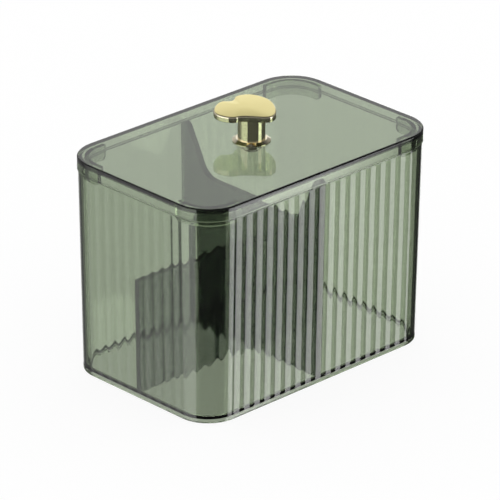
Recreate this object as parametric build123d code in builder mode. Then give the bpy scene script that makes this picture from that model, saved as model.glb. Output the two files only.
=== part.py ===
from build123d import *
from math import atan, cos, degrees, pi, sin
import os

# Cotton swab dispenser: a clear tinted box with fluted walls, two dividers and a lift-off lid with a knob.
# Millimetres. X runs along the box, Y across it, Z up. The origin is under the middle of the foot.

# Box: outside sizes at the rim. The walls lean outwards by the draft from the foot to the rim.
BOX_LENGTH = 140.0
BOX_WIDTH = 91.3
BOX_HEIGHT = 95.3
BOX_CORNER = 17.0
BOX_WALL = 2.5
DRAFT = 1.5
FLOOR_TOP = 2.6
FOOT_RING = 3.2
FOOT_RECESS = 1.2
FOOT_CHAMFER = 0.6
RIM_CHAMFER = 0.3

# Flutes: shallow hollows down the outside, with a fine ridge between two, from a plain foot band to a
# plain rim band. The counts are for one quarter of the way round, from mid-front to mid-end.
FOOT_BAND = 1.9
RIM_BAND = 0.6
FLUTE_PITCH = 6.18
FLUTES_LONG = 8
FLUTES_CORNER = 6
FLUTES_SHORT = 4
BAND_STEP = 0.03
FLUTE_DEPTH = 0.1

# Dividers: a tall one across the box and a low one along its left half.
DIVIDER_THICKNESS = 3.0
LOW_DIVIDER_THICKNESS = 2.6
DIVIDER_TOP = 96.3
NOTCH_FLOOR = 73.8
NOTCH_HALF_WIDTH = 28.0
NOTCH_HALF_MOUTH = 39.8
NOTCH_FLOOR_ROUNDING = 9.0
NOTCH_MOUTH_ROUNDING = 3.0
HORN_ROUNDING = 1.5
LOW_DIVIDER_TOP = 55.9

# Lid: a flat plate with a skirt that stands on the rim and four corner tabs that hang inside the box.
LID_OVERHANG = 0.4
LID_HEIGHT = 6.2
LID_PLATE = 2.2
LID_SKIRT = 2.2
LID_TOP_ROUNDING = 0.8
TAB_CLEARANCE = 0.4
TAB_THICKNESS = 2.0
TAB_DROP = 2.7
TAB_END_X = 48.5
TAB_END_Y = 24.3
TAB_CHAMFER = 1.2

# Knob: a cone-shaped collar, a round stem and a flat heart-shaped head, held by one screw from below.
COLLAR_FOOT_RADIUS = 8.5
COLLAR_TOP_RADIUS = 6.9
COLLAR_HEIGHT = 1.4
COLLAR_EDGE = 0.4
STEM_RADIUS = 6.1
STEM_LENGTH = 9.9
SPIGOT_RADIUS = 3.0
SPIGOT_LENGTH = 1.4
SPIGOT_CLEARANCE = 0.05
HEAD_THICKNESS = 3.3
HEAD_TOP_ROUNDING = 0.8
HEAD_UNDER_CHAMFER = 0.4

# Screw: a pan head with a cross recess, up through the lid and the collar into the stem.
SCREW_RADIUS = 2.4
SCREW_CLEARANCE = 0.3
THREAD_CLEARANCE = 0.05
SCREW_REACH = 10.0
SCREW_END_GAP = 1.0
SCREW_HEAD_RADIUS = 4.8
SCREW_HEAD_HEIGHT = 3.6
SCREW_HEAD_CHAMFER = 1.4
RECESS_LENGTH = 4.8
RECESS_WIDTH = 1.1
RECESS_DEPTH = 1.9

# Plan of the knob's head about the stem's axis: the heart's corners, each with its rounding.
HEART = [
    (1.2, 13.6, 0.8),
    (6.6, 16.6, 4.2),
    (14.4, 13.8, 6.5),
    (13.9, -0.3, 9.0),
    (1.9, -13.2, 3.0),
    (-7.2, -2.6, 9.0),
    (-12.6, 0.1, 3.9),
    (-15.3, 9.0, 6.0),
    (-3.0, 18.2, 5.5),
]

lid_top = BOX_HEIGHT + LID_HEIGHT
lid_underside = lid_top - LID_PLATE
stem_foot = lid_top + COLLAR_HEIGHT
head_underside = stem_foot + STEM_LENGTH

os.makedirs("parts", exist_ok=True)

# The way round one quarter of the rim's outline, and the places of the ridges along it.
long_run = BOX_LENGTH / 2 - BOX_CORNER
short_run = BOX_WIDTH / 2 - BOX_CORNER
corner_run = BOX_CORNER * pi / 2
quarter_run = long_run + corner_run + short_run
corner_flutes_start = FLUTES_LONG * FLUTE_PITCH
corner_flutes_end = quarter_run - FLUTES_SHORT * FLUTE_PITCH
corner_pitch = (corner_flutes_end - corner_flutes_start) / FLUTES_CORNER
ridge_runs = [number * FLUTE_PITCH for number in range(FLUTES_LONG)]
ridge_runs += [corner_flutes_start + number * corner_pitch for number in range(FLUTES_CORNER)]
ridge_runs += [corner_flutes_end + number * FLUTE_PITCH for number in range(FLUTES_SHORT + 1)]


def draft_inset(height):
    """How far a wall stands in from its place at the rim, at a height above the foot."""
    return DRAFT * (1 - height / BOX_HEIGHT)


def rounded_outline(inset):
    """Draws the box's plain outline, set in all round from its size at the rim."""
    RectangleRounded(BOX_LENGTH - 2 * inset, BOX_WIDTH - 2 * inset, BOX_CORNER - inset)


def wall_point(run, inset):
    """The point this far round from mid-front towards mid-end, set in from the rim's outline."""
    if run <= long_run:
        return (run, inset - BOX_WIDTH / 2)
    if run >= long_run + corner_run:
        return (BOX_LENGTH / 2 - inset, run - quarter_run)
    turned = (run - long_run) / BOX_CORNER
    reach = BOX_CORNER - inset
    return (long_run + reach * sin(turned), -short_run - reach * cos(turned))


def fluted_outline(inset):
    """Draws the hollows of one quarter, from ridge to ridge, and mirrors them to the whole way round."""
    for ridge, next_ridge in zip(ridge_runs, ridge_runs[1:]):
        deepest = wall_point((ridge + next_ridge) / 2, inset + FLUTE_DEPTH)
        ThreePointArc(wall_point(ridge, inset), deepest, wall_point(next_ridge, inset))
    mirror(about=Plane.YZ)
    mirror(about=Plane.XZ)


# Box body: one clear moulding, fluted outside and smooth inside, open at the top, on a low foot ring.
with BuildPart() as box_body:
    for band in ((0, FOOT_BAND), (BOX_HEIGHT - RIM_BAND, BOX_HEIGHT)):
        for height in band:
            with BuildSketch(Plane.XY.offset(height)):
                rounded_outline(draft_inset(height))
        loft(ruled=True)
    for height in (FOOT_BAND, BOX_HEIGHT - RIM_BAND):
        with BuildSketch(Plane.XY.offset(height)):
            with BuildLine():
                fluted_outline(draft_inset(height) + BAND_STEP)
            make_face()
    loft(ruled=True)
    chamfer(box_body.faces().sort_by(Axis.Z)[0].edges(), length=FOOT_CHAMFER)
    chamfer(box_body.faces().sort_by(Axis.Z)[-1].edges(), length=RIM_CHAMFER)
    with BuildSketch(Plane.XY.offset(FLOOR_TOP)):
        rounded_outline(draft_inset(FLOOR_TOP) + BOX_WALL)
    lean = degrees(atan(DRAFT / BOX_HEIGHT))
    extrude(amount=BOX_HEIGHT - FLOOR_TOP, taper=-lean, mode=Mode.SUBTRACT)
    with BuildSketch():
        rounded_outline(DRAFT + FOOT_RING)
    extrude(amount=FOOT_RECESS, mode=Mode.SUBTRACT)
box_body.part.label = "box_body"
export_step(box_body.part, "parts/box_body.step")


# Cross divider: a plate from the front wall to the back one, its ends flush against their inner faces.
# A wide notch in its top lets fingers reach into both halves.
def inner_face(half_size, height):
    """How far from the middle the inner face of a wall stands at a height, for half the box's size."""
    return half_size - BOX_WALL - draft_inset(height)


divider_half = [
    (inner_face(BOX_WIDTH / 2, FLOOR_TOP), FLOOR_TOP, 0),
    (inner_face(BOX_WIDTH / 2, DIVIDER_TOP), DIVIDER_TOP, HORN_ROUNDING),
    (NOTCH_HALF_MOUTH, DIVIDER_TOP, NOTCH_MOUTH_ROUNDING),
    (NOTCH_HALF_WIDTH, NOTCH_FLOOR, NOTCH_FLOOR_ROUNDING),
]
divider_outline = divider_half + [(-y, z, rounding) for y, z, rounding in reversed(divider_half)]
with BuildPart() as cross_divider:
    with BuildSketch(Plane.YZ):
        with BuildLine():
            corners = [(y, z) for y, z, _ in divider_outline]
            roundings = [rounding for _, _, rounding in divider_outline]
            FilletPolyline(*corners, radius=roundings, close=True)
        make_face()
    extrude(amount=DIVIDER_THICKNESS / 2, both=True)
cross_divider.part.label = "cross_divider"
export_step(cross_divider.part, "parts/cross_divider.step")


# Lengthwise divider: a low plate from the left wall's inner face to the cross divider's face.
with BuildPart() as lengthwise_divider:
    with BuildSketch(Plane.XZ):
        with BuildLine():
            Polyline(
                (-DIVIDER_THICKNESS / 2, FLOOR_TOP),
                (-DIVIDER_THICKNESS / 2, LOW_DIVIDER_TOP),
                (-inner_face(BOX_LENGTH / 2, LOW_DIVIDER_TOP), LOW_DIVIDER_TOP),
                (-inner_face(BOX_LENGTH / 2, FLOOR_TOP), FLOOR_TOP),
                close=True,
            )
        make_face()
    extrude(amount=LOW_DIVIDER_THICKNESS / 2, both=True)
lengthwise_divider.part.label = "lengthwise_divider"
export_step(lengthwise_divider.part, "parts/lengthwise_divider.step")


# Lid: a shallow tray turned over, with four curved corner tabs that keep it from sliding off.
tab_inset = BOX_WALL + TAB_CLEARANCE
with BuildPart() as lid:
    with BuildSketch(Plane.XY.offset(BOX_HEIGHT)):
        rounded_outline(-LID_OVERHANG)
    extrude(amount=LID_HEIGHT)
    fillet(lid.faces().sort_by(Axis.Z)[-1].edges(), radius=LID_TOP_ROUNDING)
    chamfer(lid.faces().sort_by(Axis.Z)[0].edges(), length=RIM_CHAMFER)
    with BuildSketch(Plane.XY.offset(BOX_HEIGHT)):
        rounded_outline(LID_SKIRT - LID_OVERHANG)
    extrude(amount=LID_HEIGHT - LID_PLATE, mode=Mode.SUBTRACT)
    with BuildSketch(Plane.XY.offset(lid_underside)):
        rounded_outline(tab_inset)
        with BuildSketch(mode=Mode.SUBTRACT):
            rounded_outline(tab_inset + TAB_THICKNESS)
            Rectangle(2 * TAB_END_X, BOX_WIDTH)
            Rectangle(BOX_LENGTH, 2 * TAB_END_Y)
    extrude(amount=-(LID_HEIGHT - LID_PLATE + TAB_DROP))
    tab_feet = lid.faces().filter_by(Axis.Z).group_by(Axis.Z)[0]
    chamfer(tab_feet.edges().filter_by(lambda edge: edge.length < 1.1 * TAB_THICKNESS), length=TAB_CHAMFER)
    with BuildSketch(Plane.XY.offset(lid_underside)):
        Circle(SCREW_RADIUS + SCREW_CLEARANCE)
    extrude(amount=LID_PLATE, mode=Mode.SUBTRACT)
lid.part.label = "lid"
export_step(lid.part, "parts/lid.step")


# Knob collar: a low cone-shaped ring that spreads the stem's load on the lid.
with BuildPart() as knob_collar:
    with BuildSketch(Plane.XZ):
        with BuildLine():
            bore = SCREW_RADIUS + SCREW_CLEARANCE
            Polyline(
                (COLLAR_TOP_RADIUS, stem_foot),
                (bore, stem_foot),
                (bore, lid_top),
                (COLLAR_FOOT_RADIUS, lid_top),
                (COLLAR_FOOT_RADIUS, lid_top + COLLAR_EDGE),
                close=True,
            )
        make_face()
    revolve(axis=Axis.Z)
knob_collar.part.label = "knob_collar"
export_step(knob_collar.part, "parts/knob_collar.step")


# Knob stem: a plain turned post, threaded from below, with a spigot on top that the head is pressed on.
with BuildPart() as knob_stem:
    with BuildSketch(Plane.XY.offset(stem_foot)):
        Circle(STEM_RADIUS)
    extrude(amount=STEM_LENGTH)
    with BuildSketch(Plane.XY.offset(head_underside)):
        Circle(SPIGOT_RADIUS - SPIGOT_CLEARANCE)
    extrude(amount=SPIGOT_LENGTH)
    with BuildSketch(Plane.XY.offset(stem_foot)):
        Circle(SCREW_RADIUS + THREAD_CLEARANCE)
    extrude(amount=SCREW_REACH + SCREW_END_GAP - LID_PLATE - COLLAR_HEIGHT, mode=Mode.SUBTRACT)
knob_stem.part.label = "knob_stem"
export_step(knob_stem.part, "parts/knob_stem.step")


# Knob head: a flat heart with rounded edges, its tip to the front, blind-bored for the stem's spigot.
with BuildPart() as knob_head:
    with BuildSketch(Plane.XY.offset(head_underside)):
        with BuildLine():
            FilletPolyline(*[(x, y) for x, y, _ in HEART], radius=[rounding for _, _, rounding in HEART], close=True)
        make_face()
    extrude(amount=HEAD_THICKNESS)
    fillet(knob_head.faces().sort_by(Axis.Z)[-1].edges(), radius=HEAD_TOP_ROUNDING)
    chamfer(knob_head.faces().sort_by(Axis.Z)[0].edges(), length=HEAD_UNDER_CHAMFER)
    with BuildSketch(Plane.XY.offset(head_underside)):
        Circle(SPIGOT_RADIUS)
    extrude(amount=SPIGOT_LENGTH + SPIGOT_CLEARANCE, mode=Mode.SUBTRACT)
knob_head.part.label = "knob_head"
export_step(knob_head.part, "parts/knob_head.step")


# Knob screw: a pan-head screw up through the lid and the collar into the stem.
with BuildPart() as knob_screw:
    head_foot = lid_underside - SCREW_HEAD_HEIGHT
    with BuildSketch(Plane.XY.offset(head_foot)):
        Circle(SCREW_HEAD_RADIUS)
    extrude(amount=SCREW_HEAD_HEIGHT)
    chamfer(knob_screw.faces().sort_by(Axis.Z)[0].edges(), length=SCREW_HEAD_CHAMFER)
    with BuildSketch(Plane.XY.offset(lid_underside)):
        Circle(SCREW_RADIUS)
    extrude(amount=SCREW_REACH)
    with BuildSketch(Plane.XY.offset(head_foot)):
        Rectangle(RECESS_LENGTH, RECESS_WIDTH)
        Rectangle(RECESS_WIDTH, RECESS_LENGTH)
    extrude(amount=RECESS_DEPTH, mode=Mode.SUBTRACT)
knob_screw.part.label = "knob_screw"
export_step(knob_screw.part, "parts/knob_screw.step")
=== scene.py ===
import math

import bmesh
import bpy
from mathutils import Matrix, Vector


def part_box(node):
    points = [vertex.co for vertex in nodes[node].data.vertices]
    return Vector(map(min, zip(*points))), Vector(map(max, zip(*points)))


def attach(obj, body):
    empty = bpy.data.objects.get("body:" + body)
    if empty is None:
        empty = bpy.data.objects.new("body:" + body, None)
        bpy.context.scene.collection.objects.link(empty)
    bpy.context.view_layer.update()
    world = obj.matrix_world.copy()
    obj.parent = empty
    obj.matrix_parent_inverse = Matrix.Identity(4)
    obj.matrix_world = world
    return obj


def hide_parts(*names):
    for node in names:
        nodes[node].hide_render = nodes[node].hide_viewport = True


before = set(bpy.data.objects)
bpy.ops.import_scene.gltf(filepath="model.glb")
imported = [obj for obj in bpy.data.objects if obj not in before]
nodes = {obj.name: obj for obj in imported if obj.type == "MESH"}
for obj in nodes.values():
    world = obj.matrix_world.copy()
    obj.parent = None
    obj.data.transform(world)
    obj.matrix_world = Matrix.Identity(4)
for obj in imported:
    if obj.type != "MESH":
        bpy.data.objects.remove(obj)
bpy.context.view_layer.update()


# Box body: one injection moulding in clear plastic with a grey-green tint. Its outside is ribbed all round
# with shallow upright flutes between a plain foot band and a plain rim band, and its inside is smooth.
MM = 0.001
RIM_HEIGHT = 95.3 * MM
HALF_LENGTH = 70.0 * MM
HALF_WIDTH = 45.65 * MM
CORNER_RADIUS = 17.0 * MM
DRAFT = 1.5 * MM
WALL = 2.5 * MM
FLOOR_TOP = 2.6 * MM
FOOT_BAND = 1.9 * MM
RIM_BAND = 0.6 * MM
FOOT_RECESS = 1.2 * MM
FOOT_RING = 2.6 * MM
FOOT_ROUNDING = 0.6 * MM
FOOT_STEPS = 6
RIM_ROUNDING = 0.3 * MM
RIM_STEPS = 4
FLOOR_ROUNDING = 1.2 * MM
FLOOR_STEPS = 6
# The flutes' ridges stand this far inside the plain bands above and below them.
BAND_STEP = 0.03 * MM
# The rim, the inside and the floor keep this much air between them and the lid and dividers they touch.
AIR_GAP = 0.02 * MM
# Flutes are counted over a quarter of the way round: along half a long wall, a corner and half a short one.
FLUTE_PITCH = 6.18 * MM
FLUTES_LONG = 8
FLUTES_CORNER = 6
FLUTES_SHORT = 4
FLUTE_POINTS = 14
FLUTE_DEPTH = 0.1 * MM
# The rounded ridge takes this much of a flute's width, and the hollow takes the rest.
RIDGE_SHARE = 0.32
TINT = (0.36, 0.46, 0.26, 1.0)
TINT_DENSITY = 376.0
PLASTIC_IOR = 1.53
CLEAR = (1.0, 1.0, 1.0, 1.0)
# Painted shade: sloping faces, and the narrow ones of a plate, go towards this dark colour by the factors
# under it, in place of the dark edges the clear plastic shows.
PAINTED_EDGE_SHADE = (0.05, 0.06, 0.05, 1.0)
SLOPE_PAINTED_SHADE = 6
PLATE_PAINTED_SHADE = 0.9
HAZE_SCALE = 60.0
HAZE_DETAIL = 3.0
HAZE_ROUGHNESS = 0.03
WAVE_SCALE = 45.0
WAVE_DETAIL = 2.0
WAVE_STRENGTH = 0.05
WAVE_HEIGHT = 0.1 * MM
CREASE_ANGLE = math.radians(25)
WELD_DISTANCE = 0.002 * MM


class Value:
    """One output of a node, with the arithmetic that adds Math nodes behind it."""

    def __init__(self, recipe, socket):
        self.recipe = recipe
        self.socket = socket

    def maths(self, operation, first, second=0.0):
        """Adds a Math node, whose inputs are plain numbers or other values."""
        return self.recipe.add("ShaderNodeMath", {"operation": operation}, {0: first, 1: second})

    def along(self, axis):
        """The X, Y or Z of a vector."""
        return self.recipe.add("ShaderNodeSeparateXYZ", {}, {"Vector": self}, axis)

    def __add__(self, other):
        return self.maths("ADD", self, other)

    def __radd__(self, other):
        return self.maths("ADD", other, self)

    def __sub__(self, other):
        return self.maths("SUBTRACT", self, other)

    def __rsub__(self, other):
        return self.maths("SUBTRACT", other, self)

    def __mul__(self, other):
        return self.maths("MULTIPLY", self, other)

    def __rmul__(self, other):
        return self.maths("MULTIPLY", other, self)

    def __truediv__(self, other):
        return self.maths("DIVIDE", self, other)

    def least(self, other):
        return self.maths("MINIMUM", self, other)

    def most(self, other):
        return self.maths("MAXIMUM", self, other)

    def to_and_fro(self, reach):
        """Runs up from 0 to the reach and down again, over and over."""
        return self.maths("PINGPONG", self, reach)

    def sine(self):
        return self.maths("SINE", self)

    def cosine(self):
        return self.maths("COSINE", self)

    def sign(self):
        return self.maths("SIGN", self)

    def fraction(self):
        return self.maths("FRACT", self)

    def angle_from(self, other):
        """The angle whose tangent is this value over the other, in all four quarters."""
        return self.maths("ARCTAN2", self, other)

    def above(self, limit):
        """1 where the value is over a limit, and else 0."""
        return self.maths("GREATER_THAN", self, limit)


class Recipe:
    """A node tree, of a shape, a material or the world, that is filled one node at a time."""

    def __init__(self, tree):
        self.tree = tree
        self.tree.nodes.clear()
        self.sizes = {}

    def add(self, kind, settings=None, inputs=None, output=0):
        """Adds a node with its settings and its inputs, which are plain or linked, and gives one output."""
        node = self.tree.nodes.new(kind)
        for name, value in (settings or {}).items():
            if name == "stops":
                self.set_stops(node.color_ramp, value)
            else:
                setattr(node, name, value)
        for name, value in (inputs or {}).items():
            if isinstance(value, Value):
                self.tree.links.new(value.socket, node.inputs[name])
            else:
                node.inputs[name].default_value = value
        return Value(self, node.outputs[output]) if len(node.outputs) else node

    def set_stops(self, ramp, stops):
        """Gives a colour ramp these grey levels at these positions."""
        while len(ramp.elements) > 1:
            ramp.elements.remove(ramp.elements[-1])
        for number, (position, level) in enumerate(stops):
            element = ramp.elements[0] if number == 0 else ramp.elements.new(position)
            element.position = position
            element.color = (level, level, level, 1.0)

    def size(self, name, kind, value=None):
        """A named input of a shape's tree, and the value that its modifier gets."""
        socket = self.tree.interface.new_socket(name, in_out="INPUT", socket_type="NodeSocket" + kind)
        if value is not None:
            self.sizes[socket.identifier] = value
        return self.add("NodeGroupInput", output=name)

    def noise(self, scale, detail, stretch=(1, 1, 1)):
        """Noise on Object coordinates, with its features this many to the metre."""
        place = self.add("ShaderNodeTexCoord", output="Object")
        place = self.add("ShaderNodeMapping", {}, {"Vector": place, "Scale": stretch})
        return self.add("ShaderNodeTexNoise", {}, {"Vector": place, "Scale": scale, "Detail": detail})


def new_material(name):
    """An empty material, and the recipe that fills it."""
    material = bpy.data.materials.new(name)
    material.use_nodes = True
    return material, Recipe(material.node_tree)


def new_object(name, data):
    """An object made of this mesh or camera, at the origin."""
    made = bpy.data.objects.new(name, data)
    bpy.context.scene.collection.objects.link(made)
    return made


def tinted_clear(name, tint, density, plate_underside=None, plate_across=None):
    """Clear plastic, coloured through its depth, with faint flow waves, handling haze, and painted shade on
    its sloping faces.

    The narrow faces of a plate get painted shade too, for the dark that light running along inside it
    gives: those above a flat plate's underside, or all that don't face across an upright one.
    """
    material, recipe = new_material(name)
    facing = recipe.add("ShaderNodeTexCoord", output="Normal")
    upward = facing.along("Z")
    level = upward * upward
    # Painted shade: faces that slope between flat and upright darken the base colour, and the narrow faces
    # of plates darken it more.
    painted_shade = SLOPE_PAINTED_SHADE * level * (1 - level)
    if plate_underside is not None:
        height = recipe.add("ShaderNodeTexCoord", output="Object").along("Z")
        painted_shade = painted_shade + PLATE_PAINTED_SHADE * height.above(plate_underside) * (1 - level)
    if plate_across is not None:
        across = facing.along(plate_across)
        painted_shade = painted_shade + PLATE_PAINTED_SHADE * (1 - across * across)
    # The base colour goes from clear towards the painted shade colour, which darkens what shows through.
    colour = recipe.add(
        "ShaderNodeMix",
        {"data_type": "RGBA"},
        {"Factor": painted_shade.least(1), "A": CLEAR, "B": PAINTED_EDGE_SHADE},
        "Result",
    )
    haze = recipe.noise(HAZE_SCALE, HAZE_DETAIL)
    waves = recipe.noise(WAVE_SCALE, WAVE_DETAIL)
    normal = recipe.add(
        "ShaderNodeBump",
        {},
        {"Strength": WAVE_STRENGTH, "Distance": WAVE_HEIGHT, "Height": waves},
    )
    plastic = recipe.add(
        "ShaderNodeBsdfPrincipled",
        {},
        {
            "Base Color": colour,
            "Roughness": HAZE_ROUGHNESS * haze,
            "IOR": PLASTIC_IOR,
            "Transmission Weight": 1.0,
            "Normal": normal,
        },
    )
    depth = recipe.add("ShaderNodeVolumeAbsorption", {}, {"Color": tint, "Density": density})
    recipe.add("ShaderNodeOutputMaterial", {}, {"Surface": plastic, "Volume": depth})
    return material


def draft_inset(height):
    """How far the wall stands in from its place at the rim, at a height above the foot."""
    return DRAFT * (1 - height / RIM_HEIGHT)


def rounded(centre_inset, centre_height, radius, first_angle, last_angle, steps):
    """Points of a small rounding of the wall's section, each with its inset and height."""
    points = []
    for step in range(steps + 1):
        angle = math.radians(first_angle + (last_angle - first_angle) * step / steps)
        inset = centre_inset - radius * math.cos(angle)
        height = centre_height + radius * math.sin(angle)
        points.append((inset, height, 0.0))
    return points


def wall_section():
    """The wall's section from under the floor, round the foot ring, up outside and down inside.

    Each point has its inset from the rim's outline, its height, and 1 where the flutes reach it.
    """
    foot_outside = draft_inset(0) + FOOT_ROUNDING
    foot_inside = DRAFT + FOOT_RING + FOOT_ROUNDING
    rim = RIM_HEIGHT - AIR_GAP
    inner = WALL - AIR_GAP
    flutes_end = RIM_HEIGHT - RIM_BAND
    section = [(foot_inside, FOOT_RECESS, 0.0), (foot_inside, 0.0, 0.0)]
    section += rounded(foot_outside, FOOT_ROUNDING, FOOT_ROUNDING, -90, 0, FOOT_STEPS)
    section += [
        (draft_inset(FOOT_BAND), FOOT_BAND, 0.0),
        (draft_inset(FOOT_BAND) + BAND_STEP, FOOT_BAND, 1.0),
        (draft_inset(flutes_end) + BAND_STEP, flutes_end, 1.0),
        (draft_inset(flutes_end), flutes_end, 0.0),
    ]
    section += rounded(RIM_ROUNDING, rim - RIM_ROUNDING, RIM_ROUNDING, 0, 90, RIM_STEPS)
    section += rounded(inner - RIM_ROUNDING, rim - RIM_ROUNDING, RIM_ROUNDING, 90, 180, RIM_STEPS)
    floor = FLOOR_TOP - AIR_GAP
    corner_inset = inner + draft_inset(floor) + FLOOR_ROUNDING
    section += rounded(corner_inset, floor + FLOOR_ROUNDING, FLOOR_ROUNDING, 0, -90, FLOOR_STEPS)
    return section


def section_object(section):
    """A line of the section's points, which carries them to the tree as attributes."""
    mesh = bpy.data.meshes.new("wall_section")
    places = [(inset, height, 0.0) for inset, height, _ in section]
    mesh.from_pydata(places, [(number, number + 1) for number in range(len(section) - 1)], [])
    for column, name in enumerate(("inset", "height", "fluted")):
        attribute = mesh.attributes.new(name, "FLOAT", "POINT")
        attribute.data.foreach_set("value", [point[column] for point in section])
    return new_object("fluted_shell", mesh)


def shell_recipe(material):
    """The tree that takes the wall's section round the box, flute by flute, and gives it its finish."""
    shape = Recipe(bpy.data.node_groups.new("fluted_shell", "GeometryNodeTree"))
    shape.tree.interface.new_socket("Shell", in_out="OUTPUT", socket_type="NodeSocketGeometry")
    section = shape.size("Section", "Geometry")
    half_length = shape.size("Half Length", "Float", HALF_LENGTH)
    half_width = shape.size("Half Width", "Float", HALF_WIDTH)
    corner_radius = shape.size("Corner Radius", "Float", CORNER_RADIUS)
    pitch = shape.size("Flute Pitch", "Float", FLUTE_PITCH)
    flutes_long = shape.size("Flutes Long", "Int", FLUTES_LONG)
    flutes_corner = shape.size("Flutes Corner", "Int", FLUTES_CORNER)
    flutes_short = shape.size("Flutes Short", "Int", FLUTES_SHORT)
    flute_points = shape.size("Flute Points", "Int", FLUTE_POINTS)
    depth = shape.size("Flute Depth", "Float", FLUTE_DEPTH)
    ridge_share = shape.size("Ridge Share", "Float", RIDGE_SHARE)

    quarter_flutes = flutes_long + flutes_corner + flutes_short
    round_points = 4 * quarter_flutes * flute_points
    rail = shape.add("GeometryNodeCurvePrimitiveCircle", {"mode": "RADIUS"}, {"Resolution": round_points})
    number = shape.add("GeometryNodeInputIndex")
    rail = shape.add(
        "GeometryNodeStoreNamedAttribute",
        {"data_type": "FLOAT", "domain": "POINT"},
        {"Geometry": rail, "Name": "flute", "Value": number / flute_points},
    )
    line = shape.add("GeometryNodeMeshToCurve", {}, {"Mesh": section})
    skin = shape.add("GeometryNodeCurveToMesh", {}, {"Curve": rail, "Profile Curve": line})

    def read(name):
        """A value that the skin's points carry."""
        return shape.add("GeometryNodeInputNamedAttribute", {"data_type": "FLOAT"}, {"Name": name})

    # How far each point is round the rim's outline, from the middle of a long wall to that of a short one.
    long_run = half_length - corner_radius
    short_run = half_width - corner_radius
    corner_run = corner_radius * (math.pi / 2)
    straight_flutes = (flutes_long + flutes_short) * pitch
    corner_pitch = (long_run + corner_run + short_run - straight_flutes) / flutes_corner
    flute = read("flute")
    place = flute.to_and_fro(quarter_flutes)
    past_long = (place - flutes_long).most(0).least(flutes_corner)
    past_corner = (place - flutes_long - flutes_corner).most(0)
    run = place.least(flutes_long) * pitch + past_long * corner_pitch + past_corner * pitch

    # Ridge and hollow are parabolas that meet with the same slope.
    from_ridge = place.to_and_fro(0.5) * 2
    ridge = from_ridge.least(ridge_share)
    hollow = 1 - from_ridge.most(ridge_share)
    width = 1 - ridge_share
    wave = depth * (ridge * ridge / ridge_share + width - hollow * hollow / width)
    inset = read("inset") + read("fluted") * wave

    # The place in one quarter of the box, which the two signs then carry to all four.
    turned = ((run - long_run) / corner_radius).most(0).least(math.pi / 2)
    reach = corner_radius - inset
    across = run.least(long_run) + reach * turned.sine()
    down = (run - long_run - corner_run).most(0) - short_run - reach * turned.cosine()
    way_round = flute / quarter_flutes * (math.pi / 2)
    position = shape.add(
        "ShaderNodeCombineXYZ",
        {},
        {"X": across * way_round.sine().sign(), "Y": down * way_round.cosine().sign(), "Z": read("height")},
    )
    skin = shape.add("GeometryNodeSetPosition", {}, {"Geometry": skin, "Position": position})
    skin = shape.add("GeometryNodeRealizeInstances", {}, {"Geometry": skin})
    skin = shape.add("GeometryNodeSetMaterial", {}, {"Geometry": skin, "Material": material})
    shape.add("NodeGroupOutput", {}, {"Shell": skin})
    return shape


def made_mesh(base, shape):
    """Runs a tree on its base object, and leaves the object with the plain mesh that comes out."""
    modifier = base.modifiers.new("shape", "NODES")
    modifier.node_group = shape.tree
    for identifier, value in shape.sizes.items():
        modifier[identifier] = value
    evaluated = base.evaluated_get(bpy.context.evaluated_depsgraph_get())
    mesh = bpy.data.meshes.new_from_object(evaluated)
    base.modifiers.remove(modifier)
    base.data = mesh
    return base


def shade_by_area(piece):
    """Lets the large faces lead the shading, so that a flat wall beside a rounding still shades as flat."""
    shading = piece.modifiers.new("shading", "WEIGHTED_NORMAL")
    shading.mode = "FACE_AREA"
    shading.keep_sharp = True


def close_and_smooth(piece):
    """Fills a mesh's open ends, turns its faces outwards and shades its round faces smoothly."""
    shape = bmesh.new()
    shape.from_mesh(piece.data)
    open_edges = [edge for edge in shape.edges if edge.is_boundary]
    bmesh.ops.holes_fill(shape, edges=open_edges, sides=0)
    bmesh.ops.recalc_face_normals(shape, faces=shape.faces)
    shape.to_mesh(piece.data)
    shape.free()
    piece.data.shade_smooth()
    piece.data.set_sharp_from_angle(angle=CREASE_ANGLE)
    shade_by_area(piece)


clear_box = tinted_clear("tinted_clear_box", TINT, TINT_DENSITY)
shell = made_mesh(section_object(wall_section()), shell_recipe(clear_box))
close_and_smooth(shell)
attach(shell, "box")
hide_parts("box_body")


# Dividers: two flat plates of the same tinted plastic, cut to the walls' lean and glued along their edges.
# The cross divider is notched for the fingers, and the low one halves the left compartment.
DIVIDER_TINT = (0.20, 0.28, 0.20, 1.0)
DIVIDER_DENSITY = 1020.0


def smooth_round_faces(node):
    """Shades a node's round faces smoothly between its edges, with its shape left alone."""
    weld = node.modifiers.new("weld", "WELD")
    weld.merge_threshold = WELD_DISTANCE
    for face in node.data.polygons:
        face.use_smooth = True
    crease = node.modifiers.new("crease", "EDGE_SPLIT")
    crease.split_angle = CREASE_ANGLE
    crease.use_edge_sharp = False
    shade_by_area(node)


def dress(name, material):
    """Gives a CAD node its finish."""
    node = nodes[name]
    node.data.materials.clear()
    node.data.materials.append(material)
    smooth_round_faces(node)


cross_clear = tinted_clear("tinted_clear_divider", DIVIDER_TINT, DIVIDER_DENSITY, plate_across="X")
dress("cross_divider", cross_clear)
low_clear = tinted_clear("tinted_clear_low_divider", DIVIDER_TINT, DIVIDER_DENSITY, plate_across="Y")
dress("lengthwise_divider", low_clear)


# Lid: a shallow moulded tray in the same tinted plastic. Its skirt stands on the rim, and four curved
# tabs hang inside the box's corners.
LID_PLATE = 2.2 * MM
LID_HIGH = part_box("lid")[1]
plate_low = LID_HIGH.z - LID_PLATE + WELD_DISTANCE
clear_lid = tinted_clear("tinted_clear_lid", TINT, TINT_DENSITY, plate_underside=plate_low)
dress("lid", clear_lid)


# Collar and stem: a low cone and a round post, turned in brass, polished and plated pale gold. The screw
# from below pulls them down on the lid.
POLISHED_GOLD = (0.86, 0.79, 0.58, 1.0)
POLISHED_ROUGHNESS = 0.03
POLISHED_MARKS = 0.05
MARKS_SCALE = 900.0
MARKS_DETAIL = 4.0
MARKS_STRETCH = (1, 1, 0.2)


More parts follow.
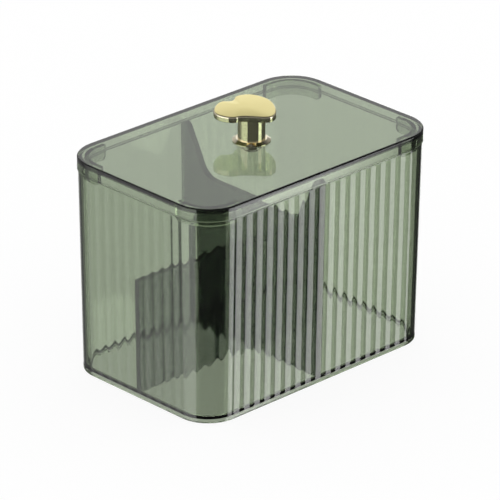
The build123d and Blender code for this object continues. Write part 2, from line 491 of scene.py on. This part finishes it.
def plated(name, colour, roughness, variation):
    """Plated metal with fine turning marks."""
    material, recipe = new_material(name)
    marks = recipe.noise(MARKS_SCALE, MARKS_DETAIL, MARKS_STRETCH)
    plating = recipe.add(
        "ShaderNodeBsdfPrincipled",
        {},
        {"Base Color": colour, "Metallic": 1.0, "Roughness": roughness + variation * marks},
    )
    recipe.add("ShaderNodeOutputMaterial", {}, {"Surface": plating})
    return material


polished = plated("polished_gold", POLISHED_GOLD, POLISHED_ROUGHNESS, POLISHED_MARKS)
dress("knob_collar", polished)
dress("knob_stem", polished)


# Knob head: a flat heart of brass, pressed on the stem's spigot. Its slightly crowned top is satin, and its
# rounded edge and its side are polished, all under one pale gold plating.
HEAD_LOW, HEAD_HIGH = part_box("knob_head")
# Corners that lead the heart's outline, in millimetres from the stem's middle.
HEART = [
    (1.3, 12.7),
    (6.3, 17.5),
    (14.1, 13.4),
    (14.8, 0.4),
    (1.6, -14.4),
    (-7.1, -1.5),
    (-12.5, -0.9),
    (-15.4, 9.6),
    (-3.0, 18.1),
]
HEART_STEPS = 12
HEAD_TOP_ROUNDING = 0.8 * MM
HEAD_TOP_STEPS = 6
HEAD_UNDER_ROUNDING = 0.4 * MM
HEAD_UNDER_STEPS = 3
HEAD_CROWN = 0.5 * MM
CROWN_RINGS = 6
SATIN_GOLD = (0.86, 0.76, 0.33, 1.0)
SATIN_DROP = 0.1 * MM
SATIN_ROUGHNESS = 0.25
SATIN_MARKS = 0.06
EDGE_ROUGHNESS = 0.05
BRUSHING_SCALE = 500.0
BRUSHING_DETAIL = 4.0
BRUSHING_STRETCH = (0.15, 1, 1)


def smooth_loop(corners, steps):
    """A closed smooth line led by the corners: it touches each side at its middle."""
    points = []
    for number, corner in enumerate(corners):
        before = (corners[number - 1] + corner) / 2
        after = (corner + corners[(number + 1) % len(corners)]) / 2
        for step in range(steps):
            part = step / steps
            points.append(before * (1 - part) ** 2 + corner * 2 * part * (1 - part) + after * part**2)
    return points


def set_in(points, inset):
    """The closed line's points, each moved square to the line towards its inside, on its right."""
    moved = []
    for number, point in enumerate(points):
        along = (points[(number + 1) % len(points)] - points[number - 1]).normalized()
        moved.append(point + Vector((along.y, -along.x)) * inset)
    return moved


def head_rings():
    """The head's outline from under its edge, round the side and over the crown, as rings of points."""
    outline = smooth_loop([Vector(corner) * MM for corner in HEART], HEART_STEPS)
    rings = []
    for step in range(HEAD_UNDER_STEPS + 1):
        turn = math.pi / 2 * step / HEAD_UNDER_STEPS
        inset = HEAD_UNDER_ROUNDING * (1 - math.sin(turn))
        height = HEAD_LOW.z + HEAD_UNDER_ROUNDING * (1 - math.cos(turn))
        rings.append((set_in(outline, inset), height))
    shoulder = HEAD_HIGH.z - HEAD_CROWN - HEAD_TOP_ROUNDING
    for step in range(HEAD_TOP_STEPS + 1):
        turn = math.pi / 2 * step / HEAD_TOP_STEPS
        inset = HEAD_TOP_ROUNDING * (1 - math.cos(turn))
        height = shoulder + HEAD_TOP_ROUNDING * math.sin(turn)
        rings.append((set_in(outline, inset), height))
    edge = rings[-1][0]
    middle = sum(edge, Vector((0, 0))) / len(edge)
    for ring in range(1, CROWN_RINGS):
        share = 1 - ring / CROWN_RINGS
        points = [middle + (point - middle) * share for point in edge]
        rings.append((points, HEAD_HIGH.z - HEAD_CROWN * share**2))
    return rings


def skin_of(rings, name):
    """A closed mesh through rings that have the same number of points, with its two ends filled."""
    count = len(rings[0][0])
    places = [(point.x, point.y, height) for points, height in rings for point in points]
    faces = [list(range(count)), list(range(len(places) - count, len(places)))]
    for ring in range(len(rings) - 1):
        for number in range(count):
            following = (number + 1) % count
            low = ring * count
            high = low + count
            faces.append([low + number, low + following, high + following, high + number])
    mesh = bpy.data.meshes.new(name)
    mesh.from_pydata(places, [], faces)
    piece = new_object(name, mesh)
    close_and_smooth(piece)
    return piece


def satin_topped_gold(name, colour, satin_height):
    """Plated metal, polished all round, with a satin top."""
    material, recipe = new_material(name)
    height = recipe.add("ShaderNodeTexCoord", output="Object").along("Z")
    top = height.above(satin_height)
    brushing = recipe.noise(BRUSHING_SCALE, BRUSHING_DETAIL, BRUSHING_STRETCH)
    roughness = EDGE_ROUGHNESS + top * (SATIN_ROUGHNESS + SATIN_MARKS * brushing)
    shade = recipe.add(
        "ShaderNodeMix",
        {"data_type": "RGBA"},
        {"Factor": top, "A": POLISHED_GOLD, "B": colour},
        "Result",
    )
    plating = recipe.add(
        "ShaderNodeBsdfPrincipled",
        {},
        {"Base Color": shade, "Metallic": 1.0, "Roughness": roughness},
    )
    recipe.add("ShaderNodeOutputMaterial", {}, {"Surface": plating})
    return material


head = skin_of(head_rings(), "heart_head")
satin_height = HEAD_HIGH.z - HEAD_CROWN - SATIN_DROP
head.data.materials.append(satin_topped_gold("satin_gold", SATIN_GOLD, satin_height))
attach(head, "lid_and_knob")
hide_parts("knob_head")


# Knob screw: a zinc-plated steel pan-head screw, driven from below the lid into the stem. Its slotted head
# shows through the lid as a dark spot.
ZINC = (0.55, 0.55, 0.54, 1.0)
ZINC_ROUGHNESS = 0.25
ZINC_MARKS = 0.1
dress("knob_screw", plated("screw_steel", ZINC, ZINC_ROUGHNESS, ZINC_MARKS))


# Studio: a pale floor and an even white surround, with light boxes and dark cards all round the object
# that only polished faces pick up. They aren't part of the object.
WHITE = (1.0, 1.0, 1.0, 1.0)
PAPER = (0.93, 0.93, 0.93, 1.0)
PAPER_GLOW = 1.02
GLOW_SEEN = 0.88
GLOW_SEEN_THROUGH = 0.6
FLOOR_SIZE = 6.0
FLOOR_DROP = 0.05 * MM
BOUNCES = 32
MIRROR_BOUNCES = 12
SOFT_LIGHT = 0.9
BOX_LIGHT = 4.0
# Each card edge has its bearing, in degrees from +X towards +Y, and the brightness there.
CARDS = [
    (0, 0.02),
    (26, 0.02),
    (30, 0.25),
    (58, 0.25),
    (62, 0.08),
    (118, 0.08),
    (124, 0.17),
    (131, 0.21),
    (136, 0.34),
    (142, 0.36),
    (145, 0.5),
    (191, 0.5),
    (193, 0.02),
    (285, 0.02),
    (287, 0.9),
    (315, 0.9),
    (316, 0.02),
    (360, 0.02),
]
# One more light box, under the horizon, which upright faces show when they are looked down on.
LOW_STRIP = [(0, 0.0), (39, 0.0), (40, 0.5), (47, 0.5), (48, 0.0), (360, 0.0)]
# Above the horizon cards are held to the limit, and open sky mixes in, fully from the cards' tops up.
CARDS_TOP = 0.17
UPPER_LIMIT = 0.3
SKY_SHARE = 0.22
SKY_LEVEL = 0.25
# The factor on every card's brightness, by the height looked at, from the horizon at 0 to overhead at 1.
CEILING = [
    (0.0, 1.0),
    (0.2, 1.25),
    (0.42, 1.0),
    (0.6, 0.6),
    (0.75, 0.2),
]

floor_mesh = bpy.data.meshes.new("floor")
half = FLOOR_SIZE / 2
floor_corners = [(-half, -half, 0), (half, -half, 0), (half, half, 0), (-half, half, 0)]
floor_mesh.from_pydata(floor_corners, [], [(0, 1, 2, 3)])
floor = new_object("floor", floor_mesh)
floor.location.z = -FLOOR_DROP


def ray_is(recipe, kind):
    """1 for this kind of ray, and 0 for any other."""
    return recipe.add("ShaderNodeLightPath", output="Is " + kind + " Ray")


def mirrored(recipe):
    """1 for a ray that a polished face has thrown back, and 0 for one that only went through glass."""
    return recipe.add("ShaderNodeLightPath", output="Glossy Depth").least(1)


def mixed(recipe, share, first, second):
    """The first shader, with this share of the second."""
    return recipe.add("ShaderNodeMixShader", {}, {0: share, 1: first, 2: second})


paper_material, paper = new_material("white_paper")
floor_mesh.materials.append(paper_material)
white_share = GLOW_SEEN * ray_is(paper, "Camera") + GLOW_SEEN_THROUGH * ray_is(paper, "Transmission")
matt = paper.add("ShaderNodeBsdfDiffuse", {}, {"Color": PAPER})
glow = paper.add("ShaderNodeEmission", {}, {"Color": WHITE, "Strength": PAPER_GLOW})
clear = paper.add("ShaderNodeBsdfTransparent", {}, {"Color": WHITE})
surface = mixed(paper, mirrored(paper), mixed(paper, white_share, matt, glow), clear)
paper.add("ShaderNodeOutputMaterial", {}, {"Surface": surface})

world = bpy.data.worlds.new("studio")
bpy.context.scene.world = world
world.use_nodes = True
sky = Recipe(world.node_tree)
toward = sky.add("ShaderNodeTexCoord", output="Generated")
bearing = (toward.along("Y").angle_from(toward.along("X")) / (2 * math.pi) + 1).fraction()


def ring_of(cards):
    """The level seen at a bearing, from cards that are placed in degrees round the object."""
    stops = [(angle / 360, level) for angle, level in cards]
    return sky.add("ShaderNodeValToRGB", {"stops": stops}, {"Fac": bearing})


def surround_light(strength):
    """Plain white light from every side."""
    return sky.add("ShaderNodeBackground", {}, {"Color": WHITE, "Strength": strength})


overhead = toward.along("Z")
ceiling = sky.add("ShaderNodeValToRGB", {"stops": CEILING}, {"Fac": overhead})
upper = overhead.above(0)
cards = ring_of(CARDS).least(1 - (1 - UPPER_LIMIT) * upper) + ring_of(LOW_STRIP) * (1 - upper)
open_sky = SKY_SHARE * overhead.least(CARDS_TOP).most(0) / CARDS_TOP
card_level = cards * (1 - open_sky) + SKY_LEVEL * open_sky
boxes = surround_light(card_level * ceiling * BOX_LIGHT)
seen = (ray_is(sky, "Camera") + ray_is(sky, "Glossy") + ray_is(sky, "Transmission")).least(1)
even = mixed(sky, seen, surround_light(SOFT_LIGHT), surround_light(1.0))
sky.add("ShaderNodeOutputWorld", {}, {"Surface": mixed(sky, mirrored(sky), even, boxes)})

scene = bpy.context.scene
scene.view_settings.view_transform = "Standard"
scene.cycles.max_bounces = BOUNCES
scene.cycles.transmission_bounces = BOUNCES
scene.cycles.glossy_bounces = MIRROR_BOUNCES


# Camera: a long lens above and to the left of the front corner, as the photograph was taken. Its place was
# fitted to the outlines of the lid, the rim, the foot and the sides.
CAMERA_AZIMUTH = -44.153
CAMERA_ELEVATION = 24.477
CAMERA_ROLL = 0.306
CAMERA_DISTANCE = 2037.1 * MM
CAMERA_TARGET = Vector((0.0, 0.559 * MM, 48.795 * MM))
IMAGE_PIXELS = 500
FOCAL_PIXELS = 4634.7
SENSOR = 36.0
FAR_LIMIT = 20.0

azimuth = math.radians(CAMERA_AZIMUTH)
elevation = math.radians(CAMERA_ELEVATION)
roll = math.radians(CAMERA_ROLL)
back = Vector((
    math.sin(azimuth) * math.cos(elevation),
    -math.cos(azimuth) * math.cos(elevation),
    math.sin(elevation),
))
level_right = Vector((math.cos(azimuth), math.sin(azimuth), 0.0))
level_up = back.cross(level_right)
right = level_right * math.cos(roll) + level_up * math.sin(roll)
up = level_up * math.cos(roll) - level_right * math.sin(roll)
camera_data = bpy.data.cameras.new("camera")
camera_data.sensor_width = SENSOR
camera_data.lens = SENSOR * (FOCAL_PIXELS / IMAGE_PIXELS)
camera_data.clip_end = FAR_LIMIT
camera = new_object("camera", camera_data)
turn = Matrix((right, up, back)).transposed().to_4x4()
camera.matrix_world = Matrix.Translation(CAMERA_TARGET + back * CAMERA_DISTANCE) @ turn
scene.camera = camera
